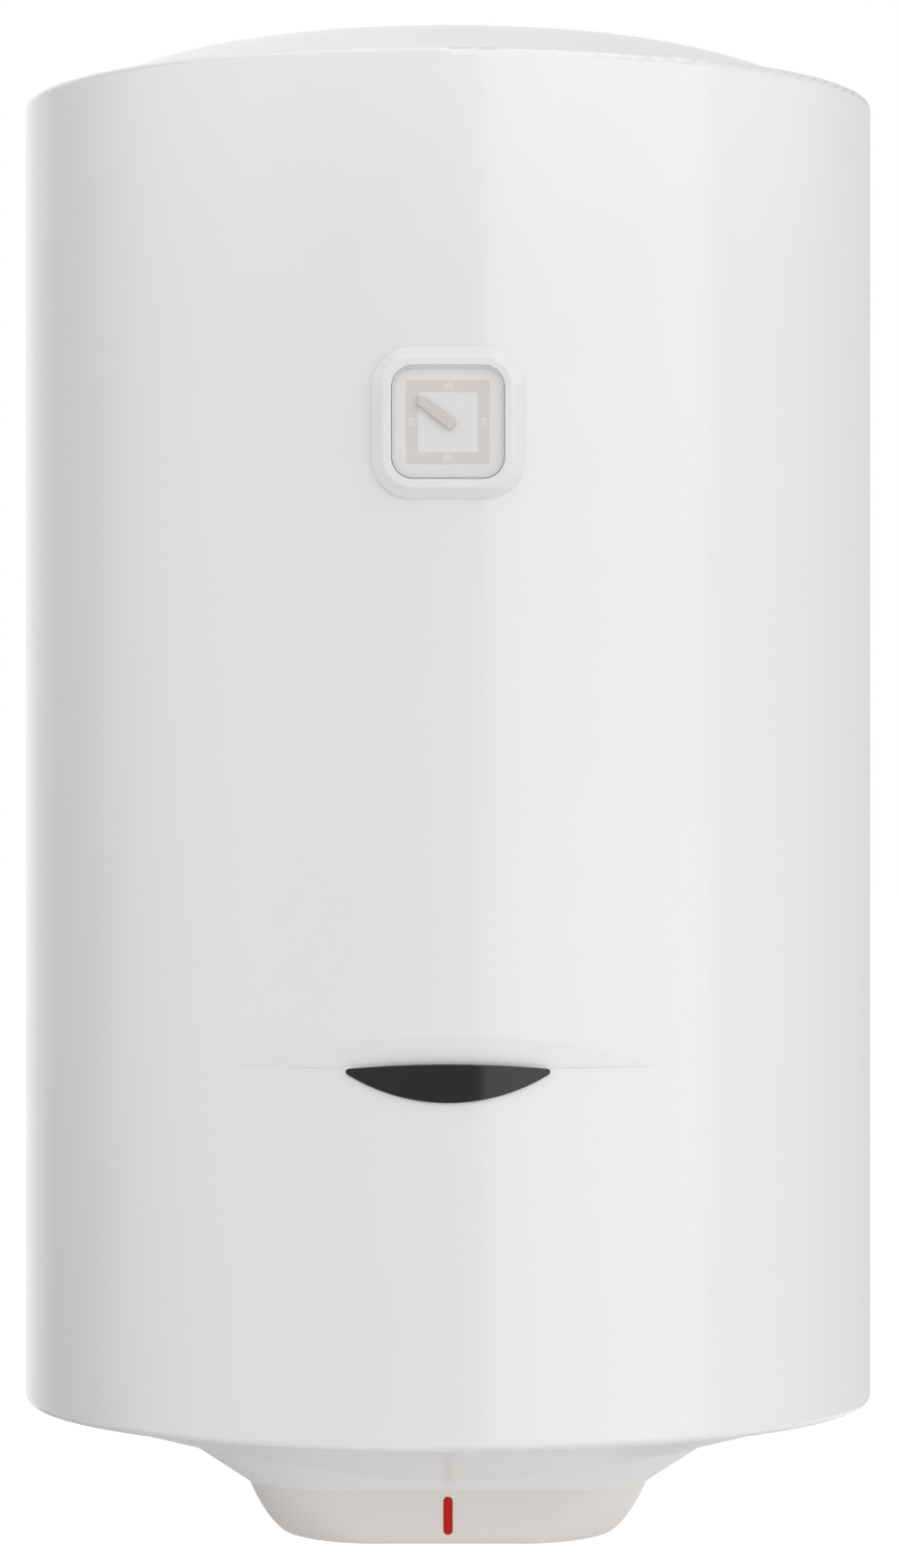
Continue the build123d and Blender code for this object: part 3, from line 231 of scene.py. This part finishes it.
class Shader(Nodes):
    """A Principled material."""

    def __init__(self, name):
        self.material = bpy.data.materials.new(name)
        super().__init__(self.material)
        self.surface = self.tree.nodes["Principled BSDF"]

    def set(self, **values):
        for key, value in values.items():
            self.surface.inputs[key.replace("_", " ")].default_value = value

    def noise(self, scale, detail=2.0, stretch=None):
        node = self.add("ShaderNodeTexNoise")
        node.inputs["Scale"].default_value = scale
        node.inputs["Detail"].default_value = detail
        source = self.add("ShaderNodeTexCoord").outputs["Object"]
        if stretch:
            mapping = self.add("ShaderNodeMapping")
            mapping.inputs["Scale"].default_value = stretch
            self.link(source, mapping.inputs["Vector"])
            source = mapping.outputs["Vector"]
        self.link(source, node.inputs["Vector"])
        return node.outputs["Fac"]

    def colour(self, fac, colour, low, high):
        """Base colour that drifts with fac between two shares of a colour."""
        node = self.add("ShaderNodeMix", data_type="RGBA")
        node.inputs["A"].default_value = (*shade(colour, low), 1)
        node.inputs["B"].default_value = (*shade(colour, high), 1)
        self.link(fac, node.inputs["Factor"])
        self.link(node.outputs["Result"], self.surface.inputs["Base Color"])

    def roughness(self, fac, low, high):
        node = self.add("ShaderNodeMapRange")
        node.inputs["From Min"].default_value = NOISE_LOW
        node.inputs["From Max"].default_value = NOISE_HIGH
        node.inputs["To Min"].default_value = low
        node.inputs["To Max"].default_value = high
        self.link(fac, node.inputs["Value"])
        self.link(node.outputs["Result"], self.surface.inputs["Roughness"])

    def bump(self, fac, strength, depth):
        """Relief from fac. depth is in metres."""
        node = self.add("ShaderNodeBump")
        node.inputs["Strength"].default_value = strength
        node.inputs["Distance"].default_value = depth
        self.link(fac, node.inputs["Height"])
        self.link(node.outputs["Normal"], self.surface.inputs["Normal"])

    def fade(self, fac, front):
        """Shows the front shader where fac is 0 and nothing where it is 1."""
        mix = self.add("ShaderNodeMixShader")
        self.link(fac, mix.inputs["Fac"])
        self.link(front, mix.inputs[1])
        self.link(self.add("ShaderNodeBsdfTransparent").outputs["BSDF"], mix.inputs[2])
        self.link(mix.outputs["Shader"], self.tree.nodes["Material Output"].inputs["Surface"])

    def open_from_behind(self, front):
        """Shows the front shader on a face's front and nothing on its back."""
        self.fade(self.add("ShaderNodeNewGeometry").outputs["Backfacing"], front)


def shade(colour, factor):
    return tuple(min(1.0, channel * factor) for channel in colour)


# Materials
def paint(name, colour, gloss=0.16):
    """Baked gloss paint: faint orange peel, faint tone drift."""
    m = Shader(name)
    m.set(IOR=1.6)
    m.colour(m.noise(5.0), colour, 0.985, 1.01)
    m.roughness(m.noise(30.0), gloss * 0.85, gloss * 1.15)
    m.bump(m.noise(260.0, 1.0), 0.05, 0.0002)
    return m.material


def moulding(name, colour, rough=0.45, grain=0.25):
    """Satin moulded plastic with a fine spark-eroded grain."""
    m = Shader(name)
    m.set(IOR=1.5)
    m.colour(m.noise(14.0), colour, 0.97, 1.02)
    m.roughness(m.noise(180.0), rough * 0.9, rough * 1.12)
    m.bump(m.noise(2600.0), grain, 0.00008)
    return m.material


def gloss_plastic(name, colour, rough=0.1, index=1.5):
    """Glossy moulding, glaze or enamel."""
    m = Shader(name)
    m.set(IOR=index)
    m.colour(m.noise(20.0), colour, 0.97, 1.02)
    m.roughness(m.noise(90.0, 3.0), rough * 0.8, rough * 1.25)
    m.bump(m.noise(400.0, 1.0), 0.03, 0.0001)
    return m.material


def metal(name, colour, rough=0.3, stretch=(1, 1, 1), grain=0.15):
    """Bare or plated metal with drawn or brushed streaks."""
    m = Shader(name)
    m.set(Metallic=1.0)
    m.colour(m.noise(40.0, 4.0), colour, 0.88, 1.06)
    m.roughness(m.noise(300.0, 3.0, stretch), rough * 0.75, rough * 1.3)
    m.bump(m.noise(900.0, 2.0, stretch), grain, 0.00005)
    return m.material


def foam(name, colour):
    """Dull poured foam with a coarse skin."""
    m = Shader(name)
    m.set(Roughness=0.95)
    m.colour(m.noise(60.0, 4.0), colour, 0.85, 1.05)
    m.bump(m.noise(700.0, 3.0), 0.6, 0.0006)
    return m.material


def rubber(name, colour):
    """Dull rubber with a dusty drift of tone."""
    m = Shader(name)
    m.set(IOR=1.45)
    m.colour(m.noise(120.0, 3.0), colour, 0.8, 1.25)
    m.roughness(m.noise(200.0), 0.6, 0.8)
    m.bump(m.noise(1500.0), 0.25, 0.0001)
    return m.material


def clear(name, colour):
    """Clear moulding that lets light through to what lies behind it."""
    m = Shader(name)
    m.set(Base_Color=(*colour, 1), Transmission_Weight=1.0, IOR=1.45)
    m.roughness(m.noise(60.0), 0.0, 0.03)
    path = m.add("ShaderNodeLightPath")
    through = m.math("MAXIMUM", path.outputs["Is Shadow Ray"], path.outputs["Is Diffuse Ray"])
    m.fade(through, m.surface.outputs["BSDF"])
    return m.material


# The record's material slots, and three inks for print
FINISHES = {
    "white_paint": (paint, (0.803, 0.802, 0.802)),
    "white_plastic": (moulding, (0.85, 0.845, 0.84), 0.32, 0.08),
    "cover_beige": (moulding, (0.765, 0.72, 0.69)),
    "black_gloss": (gloss_plastic, (0.003, 0.003, 0.0035), 0.08),
    "bezel_white": (gloss_plastic, (0.79, 0.79, 0.79), 0.22),
    "clear_lens": (clear, (0.98, 0.98, 0.98)),
    "dial_face": (moulding, (0.74, 0.73, 0.72), 0.4, 0.05),
    "needle_beige": (moulding, (0.60, 0.556, 0.515), 0.35, 0.1),
    "housing_dark": (moulding, (0.42, 0.42, 0.41)),
    "bimetal": (metal, (0.72, 0.55, 0.30)),
    "copper": (metal, (0.75, 0.42, 0.28), 0.35),
    "tank_steel": (gloss_plastic, (0.05, 0.07, 0.14), 0.3),
    "foam": (foam, (0.85, 0.76, 0.52)),
    "gasket_rubber": (rubber, (0.02, 0.02, 0.02)),
    "plated_steel": (metal, (0.62, 0.62, 0.60), 0.35),
    "sheath": (metal, (0.60, 0.58, 0.55), 0.3, (1, 1, 0.05)),
    "magnesium": (metal, (0.66, 0.66, 0.67), 0.5),
    "porcelain": (gloss_plastic, (0.80, 0.78, 0.73), 0.25),
    "thermostat_dark": (moulding, (0.03, 0.03, 0.032)),
    "knob_grey": (moulding, (0.42, 0.395, 0.37)),
    "red_plastic": (gloss_plastic, (0.50, 0.02, 0.02), 0.3),
    "blue_plastic": (gloss_plastic, (0.02, 0.08, 0.38), 0.3),
    "red_lens": (gloss_plastic, (0.52, 0.012, 0.010), 0.2, 1.2),
    "lamp_glass": (gloss_plastic, (0.85, 0.5, 0.4)),
    "lead_sheath": (rubber, (0.05, 0.05, 0.055)),
    "spacer_grey": (moulding, (0.50, 0.50, 0.49)),
    "galvanised": (paint, (0.70, 0.70, 0.69), 0.35),
    "band_ink": (moulding, (0.635, 0.592, 0.56), 0.5, 0.05),
    "number_ink": (moulding, (0.80, 0.79, 0.77), 0.5, 0.05),
    "pointer_ink": (moulding, (0.82, 0.82, 0.80), 0.4, 0.1),
}
MATERIALS = {name: make(name, *values) for name, (make, *values) in FINISHES.items()}


def dress_nodes():
    """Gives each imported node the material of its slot."""
    for entry in frame["record"]["subparts"]:
        mesh = frame["nodes"][entry["node"]].data
        mesh.materials.clear()
        mesh.materials.append(MATERIALS[entry["material_slot"]])


# Mesh helpers
def mesh_from(form, name):
    """Turns a bmesh into a mesh and frees it."""
    mesh = bpy.data.meshes.new(name)
    form.to_mesh(mesh)
    form.free()
    return mesh


def closed_mesh(name, points, faces):
    """A mesh from points and faces, with its faces turned outwards."""
    mesh = bpy.data.meshes.new(name)
    mesh.from_pydata(points, [], faces)
    form = bmesh.new()
    form.from_mesh(mesh)
    bmesh.ops.recalc_face_normals(form, faces=form.faces)
    form.to_mesh(mesh)
    form.free()
    return mesh


def place(name, mesh, slot, body="heater", ink=None):
    """A piece that rides on a body, smooth up to its sharp edges, in its slot's material or in an ink."""
    mesh.materials.clear()
    mesh.materials.append(MATERIALS[ink or slot])
    mesh.polygons.foreach_set("use_smooth", [True] * len(mesh.polygons))
    mesh.set_sharp_from_angle(angle=radians(SHARP_ANGLE))
    item = bpy.data.objects.new(name, mesh)
    bpy.context.collection.objects.link(item)
    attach(item, body)
    return item


def hoop_faces(count, steps, closed):
    """Quads between neighbouring rings of points."""
    faces = []
    for i in range(count if closed else count - 1):
        low = i * steps
        high = (i + 1) % count * steps
        for k in range(steps):
            after = (k + 1) % steps
            faces.append((low + k, low + after, high + after, high + k))
    return faces


def turn_rings(rings, steps, x, y):
    """Points of upright rings. Each ring is a height and a radius, or a radius that depends on the turn."""
    points = []
    for height, radius in rings:
        for k in range(steps):
            angle = 2 * pi * k / steps
            reach = radius(angle) if callable(radius) else radius
            points.append((x + reach * cos(angle), y + reach * sin(angle), height))
    return points


def rounded_square(size, corner):
    """Outline of a rounded square around (0, 0), counter-clockwise."""
    inner = size / 2 - corner
    outline = []
    for quarter, (side_x, side_y) in enumerate(((1, 1), (-1, 1), (-1, -1), (1, -1))):
        for k in range(CORNER_STEPS + 1):
            angle = pi / 2 * (quarter + k / CORNER_STEPS)
            outline.append((side_x * inner + corner * cos(angle), side_y * inner + corner * sin(angle)))
    return outline


# Dial print
def dial_front():
    """Middle of the dial's face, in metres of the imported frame."""
    low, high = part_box("gauge_dial")
    return Vector(((low.x + high.x) / 2, low.y, (low.z + high.z) / 2))


def dial_band():
    """Thin square band of ink, half sunk in the dial's face."""
    face = dial_front()
    loops = ((BAND_OUTER, -INK), (BAND_OUTER, INK), (BAND_INNER, INK), (BAND_INNER, -INK))
    points = []
    for size, lift in loops:
        for u, v in rounded_square(size, BAND_CORNER):
            points.append(face + Vector((u, -lift, v)) / 1000)
    mesh = bpy.data.meshes.new("dial_band")
    mesh.from_pydata(points, [], hoop_faces(len(loops), len(points) // len(loops), True))
    place("dial_band", mesh, "needle_beige", ink="band_ink")


def dial_numbers():
    """Plain numbers, one on each side of the band, read along it."""
    face = dial_front()
    reach = (BAND_OUTER + BAND_INNER) / 4
    sides = ((-reach, 0, 90), (0, reach, 0), (reach, 0, -90), (0, -reach, 0))
    upright = Matrix.Rotation(pi / 2, 4, "X")
    form = bmesh.new()
    for text, (u, v, turn) in zip(NUMBERS, sides):
        letters = bpy.data.curves.new(text, "FONT")
        letters.body = text
        letters.size = DIGIT_SIZE / 1000
        letters.extrude = INK / 1000
        letters.align_x = "CENTER"
        letters.align_y = "CENTER"
        holder = bpy.data.objects.new(text, letters)
        mesh = bpy.data.meshes.new_from_object(holder)
        spot = Matrix.Translation(face + Vector((u, -INK, v)) / 1000)
        mesh.transform(spot @ upright @ Matrix.Rotation(radians(turn), 4, "Z"))
        form.from_mesh(mesh)
        bpy.data.objects.remove(holder)
    place("dial_numbers", mesh_from(form, "dial_numbers"), "dial_face", ink="number_ink")


# Threaded pipes
def thread_radius(height):
    """Radius of the thread at a height, as a function of the turn."""
    start = height - PIPE_END
    depth = THREAD_DEPTH * min(1.0, (THREAD_LENGTH - start) / THREAD_PITCH)
    limit = THREAD_RADIUS - max(0.0, THREAD_CHAMFER - start)

    def radius(angle):
        phase = (start / THREAD_PITCH - angle / (2 * pi)) % 1
        groove = min(1.0, max(0.0, GROOVE_PEAK - GROOVE_SLOPE * abs(2 * phase - 1)))
        return min(limit, THREAD_RADIUS - depth * groove)

    return radius


def threaded_pipe(node, x):
    """A pipe with its thread, its chamfered mouth and its bore, in place of the plain node."""
    rows = int(THREAD_LENGTH / THREAD_PITCH * ROWS_PER_PITCH)
    rings = [(PIPE_END, PIPE_BORE + BORE_CHAMFER)]
    for k in range(rows + 1):
        height = PIPE_END + THREAD_LENGTH * k / rows
        rings.append((height, thread_radius(height)))
    rings += [(PIPE_END + THREAD_LENGTH + THREAD_RUNOUT, PIPE_RADIUS), (PIPE_TOP, PIPE_RADIUS)]
    rings += [(PIPE_TOP, PIPE_BORE), (PIPE_END + BORE_CHAMFER_DEPTH, PIPE_BORE)]
    points = [at(*point) for point in turn_rings(rings, PIPE_STEPS, x, PIPE_Y)]
    name = node + "_threaded"
    mesh = closed_mesh(name, points, hoop_faces(len(rings), PIPE_STEPS, True))
    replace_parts(place(name, mesh, "plated_steel"), node)


# Screws
def cross_cutter(reach, width, depth):
    """Tapered cross, pointing along +Z, that is cut from a screw's head."""
    form = bmesh.new()
    for turn in (0, 90):
        arm = bmesh.ops.create_cube(form, size=1)["verts"]
        for vertex in arm:
            narrow = CROSS_TAPER if vertex.co.z > 0 else 1.0
            vertex.co.x *= 2 * reach * narrow
            vertex.co.y *= width * narrow
            vertex.co.z *= 2 * depth
        bmesh.ops.rotate(form, verts=arm, cent=(0, 0, 0), matrix=Matrix.Rotation(radians(turn), 3, "Z"))
    return mesh_from(form, "cross")


def cut(mesh, cutter):
    """A copy of a mesh with a cutter's mesh taken out of it."""
    body = bpy.data.objects.new("body", mesh)
    tool = bpy.data.objects.new("cutter", cutter)
    for item in (body, tool):
        bpy.context.collection.objects.link(item)
    taken = body.modifiers.new("cut", "BOOLEAN")
    taken.operation = "DIFFERENCE"
    taken.object = tool
    taken.solver = "EXACT"
    taken.use_self = True
    shaped = bpy.data.meshes.new_from_object(body.evaluated_get(bpy.context.evaluated_depsgraph_get()))
    for item in (body, tool):
        bpy.data.objects.remove(item)
    return shaped


def screw_mesh(radius, head, head_height, length):
    """Pan-head screw with its crown at z = 0 and its shank along +Z, in millimetres."""
    rings = [(head_height * height, head * reach) for height, reach in PAN_HEAD]
    for k in range(SCREW_ROWS + 1):
        start = head_height + length * k / SCREW_ROWS
        rings.append((start, radius if k % 2 else radius * SCREW_ROOT))
    points = turn_rings(rings, SCREW_STEPS, 0, 0)
    faces = hoop_faces(len(rings), SCREW_STEPS, False)
    faces += [tuple(range(SCREW_STEPS)), tuple(range(len(points) - SCREW_STEPS, len(points)))]
    blank = closed_mesh("screw", points, faces)
    return cut(blank, cross_cutter(head * CROSS_REACH, head * CROSS_WIDTH, head_height * CROSS_DEPTH))


def screw_set(node, mesh, places):
    """Copies of a screw mesh, one at each place, as one piece that stands for a node."""
    form = bmesh.new()
    for spot in places:
        copy = mesh.copy()
        copy.transform(spot @ Matrix.Scale(0.001, 4))
        form.from_mesh(copy)
    name = node + "_crossed"
    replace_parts(place(name, mesh_from(form, name), "plated_steel"), node)


def screws():
    """The cover's two screws from below, and the stand-off's screw from behind."""
    cover = screw_mesh(COVER_SCREW_RADIUS, COVER_SCREW_HEAD, COVER_SCREW_HEAD_HEIGHT, COVER_SCREW_LENGTH)
    crown = COVER_SCREW_SEAT - COVER_SCREW_HEAD_HEIGHT
    places = [Matrix.Translation(at(side * COVER_SCREW_X, 0, crown)) for side in (-1, 1)]
    screw_set("cover_screws", cover, places)
    low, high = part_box("spacer_screw")
    length = (high.y - low.y) * 1000 - SPACER_SCREW_HEAD_HEIGHT
    spacer = screw_mesh(SPACER_SCREW_RADIUS, SPACER_SCREW_HEAD, SPACER_SCREW_HEAD_HEIGHT, length)
    middle = Vector(((low.x + high.x) / 2, high.y, (low.z + high.z) / 2))
    screw_set("spacer_screw", spacer, [Matrix.Translation(middle) @ Matrix.Rotation(pi / 2, 4, "X")])


# Knob pointer and moulded marks
def rounded_bars(name, bars, slot, body="heater", ink=None):
    """Bars with rounded edges. Each bar is its middle, its size and its turn about Z."""
    form = bmesh.new()
    for middle, size, turn in bars:
        bar = bmesh.ops.create_cube(form, size=1)["verts"]
        bmesh.ops.scale(form, vec=Vector(size) / 1000, verts=bar)
        bmesh.ops.rotate(form, verts=bar, cent=(0, 0, 0), matrix=Matrix.Rotation(radians(turn), 3, "Z"))
        bmesh.ops.translate(form, verts=bar, vec=at(*middle))
    bmesh.ops.bevel(form, geom=form.edges[:], offset=BAR_EDGE / 1000, segments=2, affect="EDGES")
    place(name, mesh_from(form, name), slot, body, ink)


def knob_marks():
    bars = []
    for k in range(MARKS):
        turn = MARK_START - k * MARK_STEP
        length = MARK_LENGTH + MARK_GROWTH * k
        reach = WELL_RADIUS + MARK_GAP + length / 2
        middle = (reach * cos(radians(turn)), SPINDLE_Y + reach * sin(radians(turn)), COVER_Z)
        bars.append((middle, (length, MARK_WIDTH, 2 * MARK_PROUD), turn))
    rounded_bars("knob_marks", bars, "cover_beige")


def knob_pointer():
    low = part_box("temperature_knob")[0]
    level = low.z * 1000 + RIM_TO_HOOKS
    middle = (0, SPINDLE_Y - KNOB_RADIUS + POINTER_INSET + POINTER_LENGTH / 2, level)
    bar = (middle, (POINTER_WIDTH, POINTER_LENGTH, POINTER_THICKNESS), 0)
    rounded_bars("knob_pointer", [bar], "white_plastic", "knob", "pointer_ink")


# Stage: floor, light and camera
def stage_plane(name, points, faces, material):
    mesh = bpy.data.meshes.new(name)
    mesh.from_pydata(points, [], faces)
    mesh.materials.append(material)
    plane = bpy.data.objects.new(name, mesh)
    bpy.context.collection.objects.link(plane)
    return plane


def floor():
    """White floor that keeps the object's shadow. Its glow shows only to the rays that see the backdrop."""
    m = Shader("floor")
    m.set(Base_Color=(FLOOR_TONE, FLOOR_TONE, FLOOR_TONE, 1), Roughness=FLOOR_ROUGHNESS)
    glow = m.add("ShaderNodeEmission")
    m.link(m.math("MULTIPLY", m.backdrop_rays(), FLOOR_GLOW), glow.inputs["Strength"])
    both = m.add("ShaderNodeAddShader")
    m.link(m.surface.outputs["BSDF"], both.inputs[0])
    m.link(glow.outputs["Emission"], both.inputs[1])
    m.open_from_behind(both.outputs["Shader"])
    reach = FLOOR_REACH / 1000
    level = at(0, 0, FLOOR_Z).z
    corners = [(-reach, -reach, level), (reach, -reach, level), (reach, reach, level), (-reach, reach, level)]
    stage_plane("floor", corners, [(0, 1, 2, 3)], m.material)


def card(name, points, faces, tones, reflected):
    """Glowing cards that the camera doesn't see, each point with its own brightness.

    They show in reflections only, or else they only give soft light from their front.
    """
    m = Shader(name)
    m.set(Base_Color=(0, 0, 0, 1), Specular_IOR_Level=0.0, Emission_Color=(1, 1, 1, 1))
    tone = m.add("ShaderNodeAttribute", attribute_name="tone")
    m.link(tone.outputs["Fac"], m.surface.inputs["Emission Strength"])
    m.open_from_behind(m.surface.outputs["BSDF"])
    plane = stage_plane(name, points, faces, m.material)
    values = plane.data.attributes.new("tone", "FLOAT", "POINT")
    values.data.foreach_set("value", tones)
    plane.visible_camera = False
    plane.visible_diffuse = not reflected
    plane.visible_glossy = reflected
    plane.visible_transmission = False
    plane.visible_shadow = False


def studio_ring():
    """Upright cards around the tank's axis, brighter in the upper part of their front."""
    points = []
    tones = []
    for azimuth, tone in RING_TONES:
        turn = radians(azimuth)
        glow = UPPER_GLOW * max(0.0, cos(turn * 90 / UPPER_SPREAD))
        for height, share in RING_ROWS:
            points.append(at(RING_DISTANCE * sin(turn), -RING_DISTANCE * cos(turn), height))
            tones.append(tone + glow * share)
    rows = len(RING_ROWS)
    faces = []
    for k in range(len(points) - rows):
        if (k + 1) % rows:
            faces.append((k, k + rows, k + rows + 1, k + 1))
    card("studio_ring", points, faces, tones, True)


def level_card(name, sides, height, tone, reflected, fade=0, edge_tone=0.0):
    """Level card that faces the object. fade is a border around it that ends in edge_tone."""
    points = []
    tones = []
    for grow, value in ((0, tone), (fade, edge_tone)):
        left, right, front, rear = sides[0] - grow, sides[1] + grow, sides[2] - grow, sides[3] + grow
        for x, y in ((left, front), (right, front), (right, rear), (left, rear)):
            points.append(at(x, y, height))
            tones.append(value)
    faces = [(0, 1, 2, 3)]
    if fade:
        faces += [(k, k + 4, (k + 1) % 4 + 4, (k + 1) % 4) for k in range(4)]
    if height > CASING_HEIGHT:
        faces = [face[::-1] for face in faces]
    card(name, points, faces, tones, reflected)


def world():
    """White to the rays that see the backdrop, and to others a soft fill that grows towards the key."""
    sky = bpy.data.worlds.new("studio")
    bpy.context.scene.world = sky
    nodes = Nodes(sky)
    lean = nodes.add("ShaderNodeVectorMath", operation="DOT_PRODUCT")
    lean.inputs[1].default_value = KEY
    nodes.link(nodes.add("ShaderNodeTexCoord").outputs["Generated"], lean.inputs[0])
    strength = nodes.add("ShaderNodeMix")
    nodes.link(nodes.backdrop_rays(), strength.inputs["Factor"])
    nodes.link(nodes.math("ADD", lean.outputs["Value"], FILL), strength.inputs["A"])
    strength.inputs["B"].default_value = 1.0
    back = nodes.tree.nodes["Background"]
    back.inputs["Color"].default_value = (1, 1, 1, 1)
    nodes.link(strength.outputs["Result"], back.inputs["Strength"])


def camera():
    lens = bpy.data.cameras.new("camera")
    lens.sensor_width = SENSOR
    lens.sensor_fit = "AUTO"
    lens.lens = FOCAL_PIXELS / PHOTO_HEIGHT * SENSOR
    eye = bpy.data.objects.new("camera", lens)
    eye.location = at(EYE_X, -EYE_DISTANCE, EYE_HEIGHT)
    aim = at(EYE_X, 0, EYE_HEIGHT - AIM_DROP)
    eye.rotation_euler = (aim - eye.location).to_track_quat("-Z", "Y").to_euler()
    bpy.context.collection.objects.link(eye)
    bpy.context.scene.camera = eye


dress_nodes()
dial_band()
dial_numbers()
threaded_pipe("cold_inlet_pipe", PIPE_X)
threaded_pipe("hot_outlet_pipe", -PIPE_X)
screws()
knob_marks()
knob_pointer()
floor()
world()
studio_ring()
level_card("left_flag", LEFT_FLAG, FLAG_Z, LEFT_FLAG_TONE, False)
level_card("under_flag", UNDER_FLAG, FLAG_Z, UNDER_FLAG_TONE, False)
level_card("low_flag", LOW_FLAG, FLAG_Z, LOW_FLAG_TONE, True, LOW_FLAG_FADE, LOW_FLAG_EDGE_TONE)
level_card("top_box", TOP_BOX, TOP_BOX_Z, TOP_BOX_TONE, True)
camera()
bpy.context.scene.view_settings.view_transform = "Standard"
